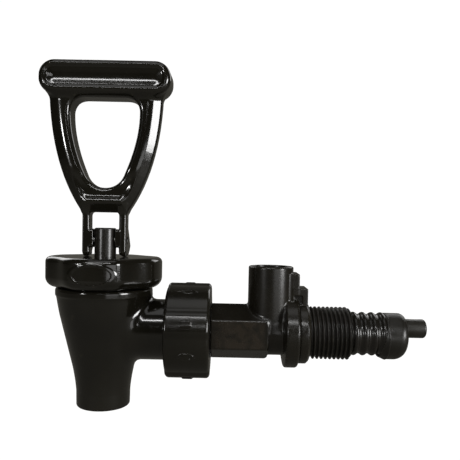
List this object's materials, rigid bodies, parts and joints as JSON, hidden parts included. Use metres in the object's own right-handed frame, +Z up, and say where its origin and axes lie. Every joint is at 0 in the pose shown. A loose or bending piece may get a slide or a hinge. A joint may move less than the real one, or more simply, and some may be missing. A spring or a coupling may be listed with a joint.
{
  "type": "drinks faucet",
  "caption": "Self-closing drinks faucet: loop pull handle on a cam fork, lobed screw bonnet, tapered spout body, ribbed coupling nut and a gauge shank with wall thread and ribbed inlet tail.",
  "frame": {"origin": "the centre of the spout's mouth", "axes": "+X along the shank axis towards the inlet, +Z up along the stem axis; at rest the handle's wide side faces -Y"},
  "size_m": [0.1637, 0.0482, 0.144],
  "materials": {
    "gloss_black": "moulded black polypropylene, polished",
    "satin_black": "moulded black plastic, semi-gloss",
    "shank_black": "moulded black plastic, satin with matte flats",
    "matte_black": "moulded black plastic, matte",
    "black_acetal": "machined black acetal",
    "black_rubber": "black rubber",
    "acetal": "natural acetal",
    "silicone": "translucent silicone",
    "pin_steel": "stainless steel"
  },
  "bodies": {
    "root": {"faucet_body": "gloss_black", "c_ring": "pin_steel", "coupling_gasket": "black_rubber", "shank": "shank_black", "gauge_seal": "black_rubber", "shank_washer": "shank_black", "ribbed_tail": "black_rubber", "tail_cap": "matte_black", "tail_o_ring": "black_rubber", "inlet_tube": "matte_black", "tube_o_ring": "black_rubber"},
    "top_works": {"slip_washer": "acetal", "upper_spring_washer": "pin_steel", "seat_cup": "silicone", "closing_spring": "pin_steel"},
    "bonnet": {"bonnet": "gloss_black"},
    "spring_follower": {"lower_spring_washer": "pin_steel"},
    "stem": {"valve_stem": "black_acetal", "pivot_pin": "pin_steel"},
    "handle": {"handle": "gloss_black"},
    "nut_carrier": {"slip_ring": "acetal"},
    "nut": {"coupling_nut": "satin_black"}
  },
  "joints": [
    {"name": "bonnet_travel", "type": "slide", "parent": "root", "child": "top_works", "axis": [0, 0, 1], "range_m": [0, 0.0078]},
    {"name": "bonnet_turn", "type": "hinge", "parent": "top_works", "child": "bonnet", "pos_m": [0, 0, 0.0567], "axis": [0, 0, 1], "range_deg": [0, 1440]},
    {"name": "stem_lift", "type": "slide", "parent": "top_works", "child": "spring_follower", "axis": [0, 0, 1], "range_m": [0, 0.0031], "deforming": ["closing_spring", "seat_cup"]},
    {"name": "handle_swivel", "type": "hinge", "parent": "spring_follower", "child": "stem", "pos_m": [0, 0, 0.0702], "axis": [0, 0, 1], "continuous": true},
    {"name": "handle_tilt", "type": "hinge", "parent": "stem", "child": "handle", "pos_m": [0, 0, 0.0702], "axis": [-1, 0, 0], "range_deg": [0, 60]},
    {"name": "nut_travel", "type": "slide", "parent": "root", "child": "nut_carrier", "axis": [1, 0, 0], "range_m": [0, 0.0102]},
    {"name": "nut_turn", "type": "hinge", "parent": "nut_carrier", "child": "nut", "pos_m": [0.036, 0, 0.0327], "axis": [1, 0, 0], "range_deg": [0, 1440]}
  ],
  "couplings": [
    {"joint": "stem_lift", "follows": "handle_tilt", "m_per_rad": 0.0028648},
    {"joint": "nut_travel", "follows": "nut_turn", "m_per_rad": 0.00039789},
    {"joint": "bonnet_travel", "follows": "bonnet_turn", "m_per_rad": 0.00030239}
  ]
}
